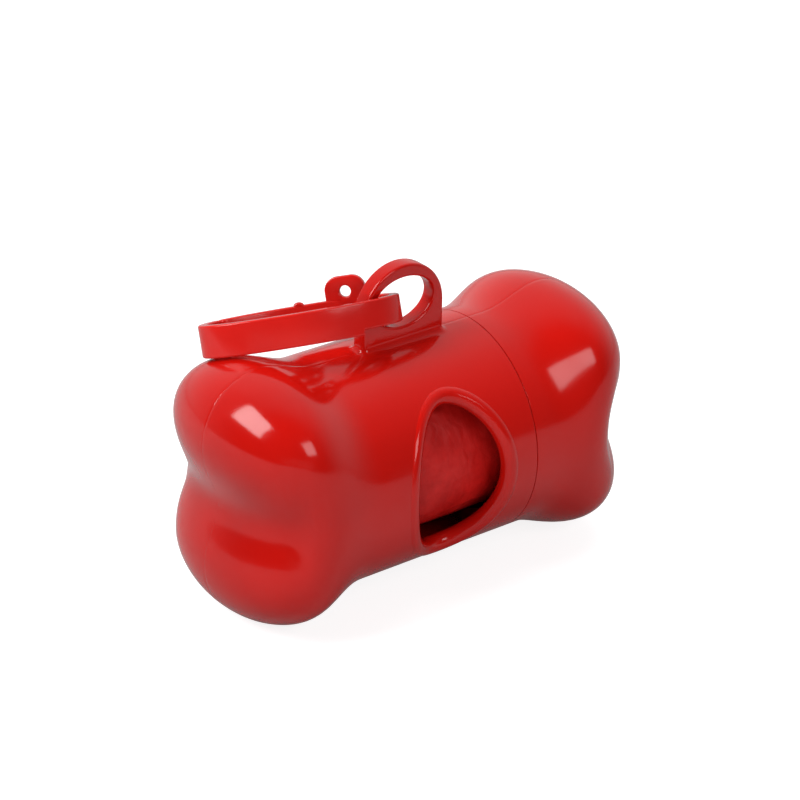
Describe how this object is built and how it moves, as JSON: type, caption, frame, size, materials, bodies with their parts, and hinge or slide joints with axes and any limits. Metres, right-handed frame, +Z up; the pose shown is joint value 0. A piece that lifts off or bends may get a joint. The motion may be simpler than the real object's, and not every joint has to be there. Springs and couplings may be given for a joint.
{
  "type": "dog waste bag dispenser",
  "caption": "Bone-shaped plastic pocket case for a roll of dog waste bags, with an oval dispensing opening, a pull-off end cap, an arched lug and a looped clip",
  "frame": {"origin": "middle of the bone's length and depth, on the surface that its two lower lobes stand on", "axes": "+X along the bone towards the pull-off cap, -Y out of the dispensing opening, +Z up through the lug"},
  "size_m": [0.0846, 0.0424, 0.058],
  "materials": {
    "shell_red": "glossy moulded red",
    "inner_red": "moulded red",
    "clip_red": "glossy moulded red",
    "film": "crinkled red film",
    "core": "plain tube"
  },
  "bodies": {
    "housing": {"housing_front_shell": "shell_red", "housing_rear_shell": "shell_red", "neck_ring": "inner_red"},
    "cap": {"cap_front_shell": "shell_red", "cap_rear_shell": "shell_red", "cap_collar": "inner_red"},
    "roll": {"roll_core": "core", "bag_roll": "film"},
    "clip": {"clip_frame": "clip_red"},
    "gate": {"clip_gate": "clip_red"}
  },
  "joints": [
    {"name": "cap_pull", "type": "slide", "parent": "housing", "child": "cap", "axis": [1, 0, 0], "range_m": [0, 0.03]},
    {"name": "roll_spin", "type": "hinge", "parent": "housing", "child": "roll", "pos_m": [0, 0, 0.0222], "axis": [1, 0, 0], "continuous": true},
    {"name": "clip_swing", "type": "hinge", "parent": "housing", "child": "clip", "pos_m": [-0.0009, 0, 0.051], "axis": [0, 1, 0], "range_deg": [0, 100]},
    {"name": "gate_flex", "type": "hinge", "parent": "clip", "child": "gate", "pos_m": [-0.02663, 0.0156, 0.04513], "axis": [0.0703, 0.3646, 0.9285], "range_deg": [0, 20], "stiffness_Nm_per_rad": 0.4}
  ]
}
